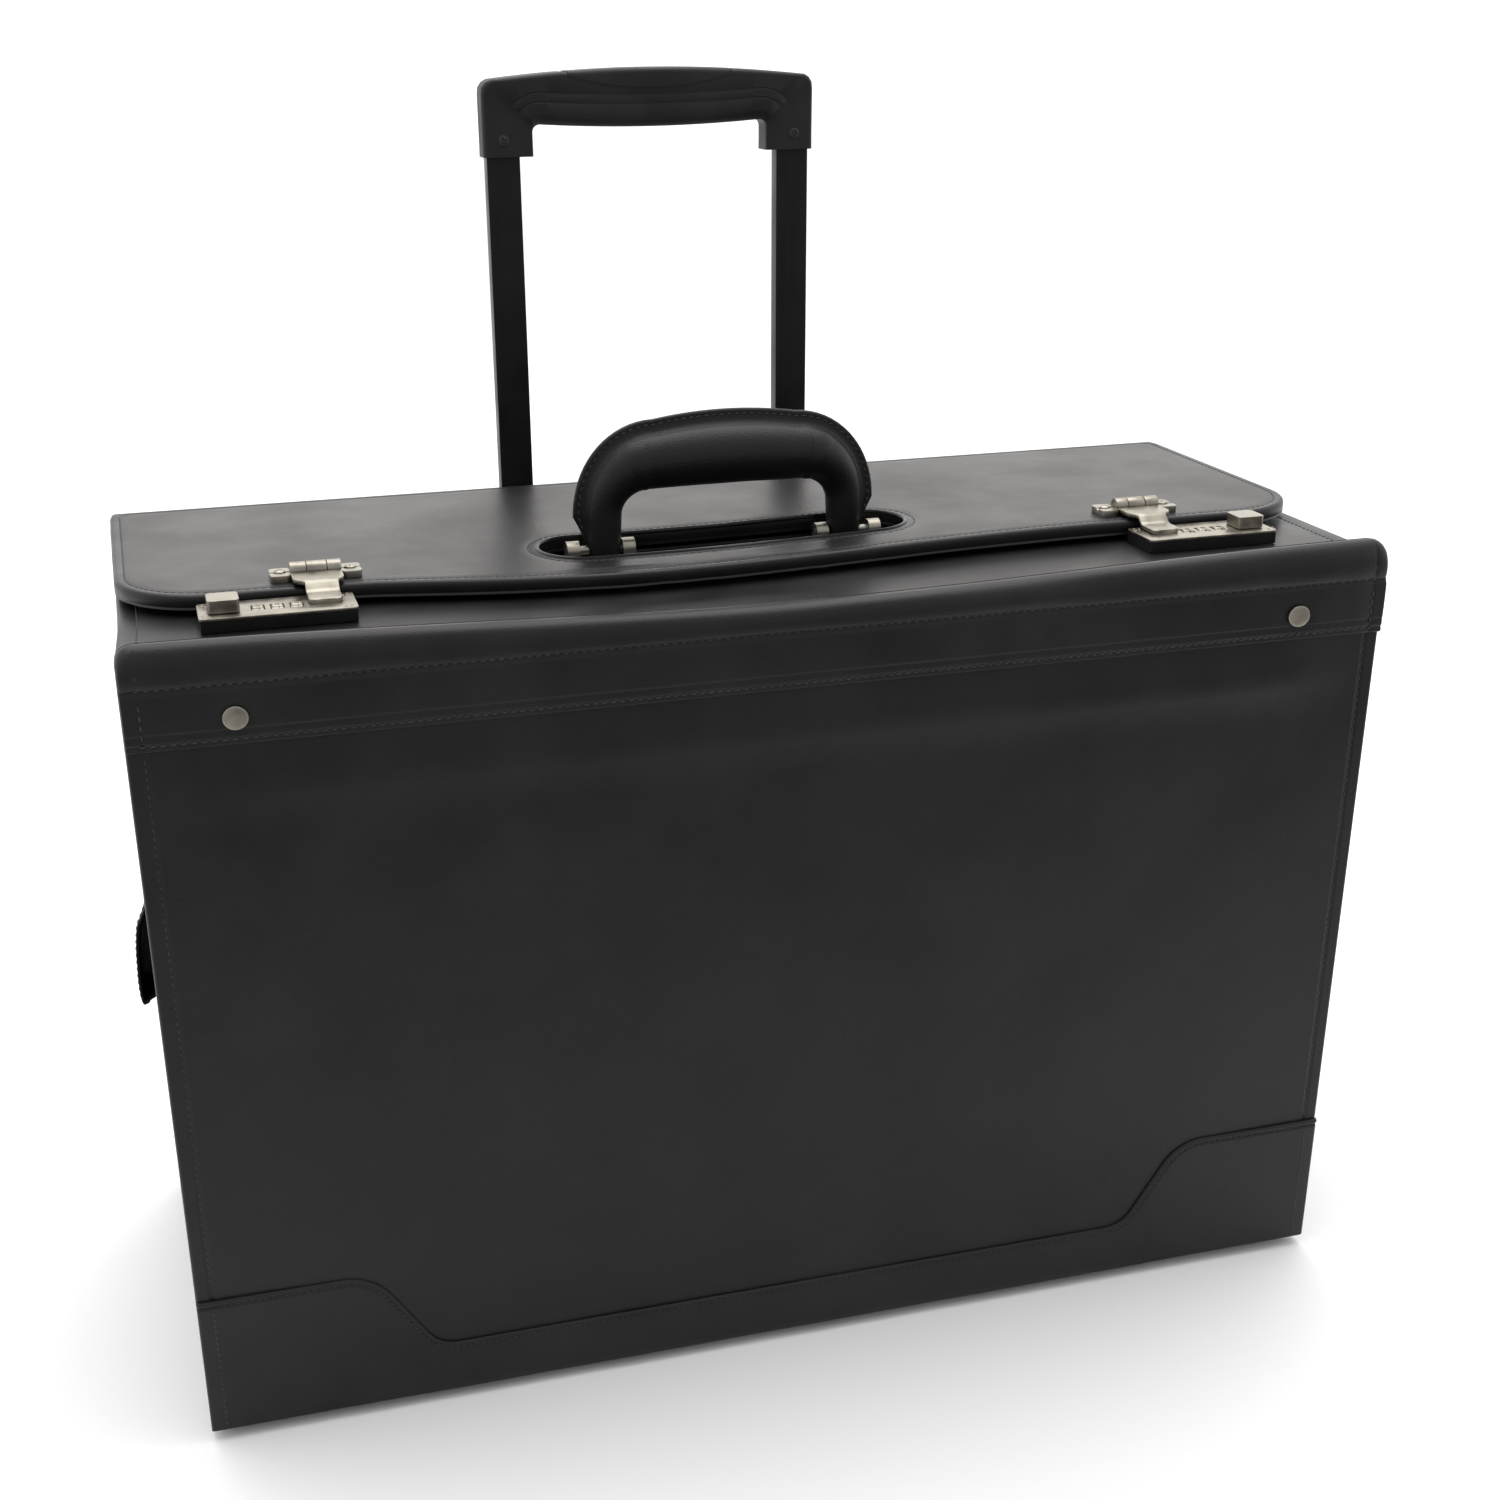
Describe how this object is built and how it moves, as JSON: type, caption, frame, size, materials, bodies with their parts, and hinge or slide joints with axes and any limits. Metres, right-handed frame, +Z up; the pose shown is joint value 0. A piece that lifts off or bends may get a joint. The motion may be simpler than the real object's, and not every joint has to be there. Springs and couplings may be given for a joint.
{
  "type": "pilot rolling flight case",
  "caption": "Rolling pilot case: leather-covered box with rear-hinged lid, combination locks, carry handle, snap pocket, wheels and pull-up trolley.",
  "frame": {"origin": "middle of the bounding box's footprint, on the floor under the wheels and feet", "axes": "+X to the case's right seen from its front, +Y to the rear where the trolley is, +Z up"},
  "size_m": [0.565, 0.26, 0.5735],
  "materials": {
    "leather": "black bonded leather, fine grain, low sheen",
    "fibreboard": "pressed fibreboard",
    "base_sheet": "pebbled black sheet",
    "lining_cloth": "woven black lining",
    "nickel": "satin nickel plate",
    "dial_metal": "satin nickel with dark engraved marks",
    "steel": "zinc-plated steel",
    "moulded_black": "fine-textured black plastic",
    "black_screw": "blackened screw",
    "foot_rubber": "moulded rubber",
    "tube_black": "satin black painted tube",
    "tyre_black": "worn polyurethane",
    "hub_grey": "dark grey moulded hub"
  },
  "bodies": {
    "case": {"side_boards": "fibreboard", "back_board": "fibreboard", "bottom_board": "fibreboard", "front_board": "fibreboard", "side_covers": "leather", "back_cover": "leather", "bottom_cover": "base_sheet", "lining": "lining_cloth", "front_pocket_panel": "leather", "pocket_gusset": "leather", "front_ridge": "leather", "front_base_trim": "leather", "snap_studs": "nickel", "inner_flap_board": "fibreboard", "inner_flap_cover": "leather", "lock_bases": "moulded_black", "lock_plates": "nickel", "dial_shafts": "steel", "handle_brackets": "nickel", "handle_pins": "nickel", "side_strap": "leather", "side_strap_rivets": "nickel", "wheel_housings": "moulded_black", "wheel_axles": "steel", "front_feet": "foot_rubber", "outer_tubes": "tube_black", "top_bracket": "moulded_black", "bottom_bracket": "moulded_black", "bracket_screws": "steel"},
    "lid": {"lid_board": "fibreboard", "lid_cover": "leather", "lid_lower_ply": "leather", "hasp_brackets": "nickel", "hasp_pins": "nickel", "hasp_screws": "nickel"},
    "hasp_left": {"hasp_left": "nickel"},
    "hasp_right": {"hasp_right": "nickel"},
    "lock_button_left": {"lock_button_left": "nickel"},
    "lock_button_right": {"lock_button_right": "nickel"},
    "carry_handle": {"carry_handle_grip": "leather", "carry_handle_core": "steel"},
    "pocket_flap": {"pocket_flap": "leather", "snap_caps": "nickel"},
    "trolley_mid": {"mid_tubes": "tube_black"},
    "trolley_inner": {"inner_tubes": "tube_black", "grip_front_shell": "moulded_black", "grip_rear_shell": "moulded_black", "grip_screws": "black_screw"},
    "grip_button": {"grip_button": "moulded_black", "release_rods": "steel"},
    "wheel_left": {"tyre_left": "tyre_black", "hub_left": "hub_grey"},
    "wheel_right": {"tyre_right": "tyre_black", "hub_right": "hub_grey"},
    "dial_left_1": {"dial_left_1": "dial_metal"},
    "dial_left_2": {"dial_left_2": "dial_metal"},
    "dial_left_3": {"dial_left_3": "dial_metal"},
    "dial_right_1": {"dial_right_1": "dial_metal"},
    "dial_right_2": {"dial_right_2": "dial_metal"},
    "dial_right_3": {"dial_right_3": "dial_metal"}
  },
  "joints": [
    {"name": "lid_hinge", "type": "hinge", "parent": "case", "child": "lid", "pos_m": [0.0065, 0.102, 0.374], "axis": [-1, 0, 0], "range_deg": [0, 90]},
    {"name": "hasp_left_hinge", "type": "hinge", "parent": "lid", "child": "hasp_left", "pos_m": [-0.186, -0.048, 0.3776], "axis": [-1, 0, 0], "range_deg": [0, 100]},
    {"name": "hasp_right_hinge", "type": "hinge", "parent": "lid", "child": "hasp_right", "pos_m": [0.199, -0.048, 0.3776], "axis": [-1, 0, 0], "range_deg": [0, 100]},
    {"name": "lock_button_left_slide", "type": "slide", "parent": "case", "child": "lock_button_left", "axis": [-1, 0, 0], "range_m": [0, 0.004], "stiffness_N_per_m": 200, "springref_m": -0.002},
    {"name": "lock_button_right_slide", "type": "slide", "parent": "case", "child": "lock_button_right", "axis": [1, 0, 0], "range_m": [0, 0.004], "stiffness_N_per_m": 200, "springref_m": -0.002},
    {"name": "dial_left_1_turn", "type": "hinge", "parent": "case", "child": "dial_left_1", "pos_m": [-0.2131, -0.079, 0.368], "axis": [1, 0, 0], "continuous": true},
    {"name": "dial_left_2_turn", "type": "hinge", "parent": "case", "child": "dial_left_2", "pos_m": [-0.2052, -0.079, 0.368], "axis": [1, 0, 0], "continuous": true},
    {"name": "dial_left_3_turn", "type": "hinge", "parent": "case", "child": "dial_left_3", "pos_m": [-0.1973, -0.079, 0.368], "axis": [1, 0, 0], "continuous": true},
    {"name": "dial_right_1_turn", "type": "hinge", "parent": "case", "child": "dial_right_1", "pos_m": [0.2261, -0.079, 0.368], "axis": [1, 0, 0], "continuous": true},
    {"name": "dial_right_2_turn", "type": "hinge", "parent": "case", "child": "dial_right_2", "pos_m": [0.2182, -0.079, 0.368], "axis": [1, 0, 0], "continuous": true},
    {"name": "dial_right_3_turn", "type": "hinge", "parent": "case", "child": "dial_right_3", "pos_m": [0.2103, -0.079, 0.368], "axis": [1, 0, 0], "continuous": true},
    {"name": "carry_handle_tilt", "type": "hinge", "parent": "case", "child": "carry_handle", "pos_m": [0.0065, -0.014, 0.3675], "axis": [1, 0, 0], "range_deg": [-20, 40]},
    {"name": "pocket_flap_lift", "type": "hinge", "parent": "case", "child": "pocket_flap", "pos_m": [0.0065, -0.1283, 0.3547], "axis": [-1, 0, 0], "range_deg": [0, 120]},
    {"name": "trolley_mid_slide", "type": "slide", "parent": "case", "child": "trolley_mid", "axis": [0, 0, 1], "range_m": [0, 0.22]},
    {"name": "trolley_inner_slide", "type": "slide", "parent": "trolley_mid", "child": "trolley_inner", "axis": [0, 0, 1], "range_m": [-0.1947, 0.05]},
    {"name": "grip_button_press", "type": "slide", "parent": "trolley_inner", "child": "grip_button", "axis": [0, 0, -1], "range_m": [0, 0.004], "stiffness_N_per_m": 600, "springref_m": -0.003},
    {"name": "wheel_left_spin", "type": "hinge", "parent": "case", "child": "wheel_left", "pos_m": [-0.2442, 0.091, 0.025], "axis": [1, 0, 0], "continuous": true},
    {"name": "wheel_right_spin", "type": "hinge", "parent": "case", "child": "wheel_right", "pos_m": [0.2572, 0.091, 0.025], "axis": [1, 0, 0], "continuous": true}
  ]
}
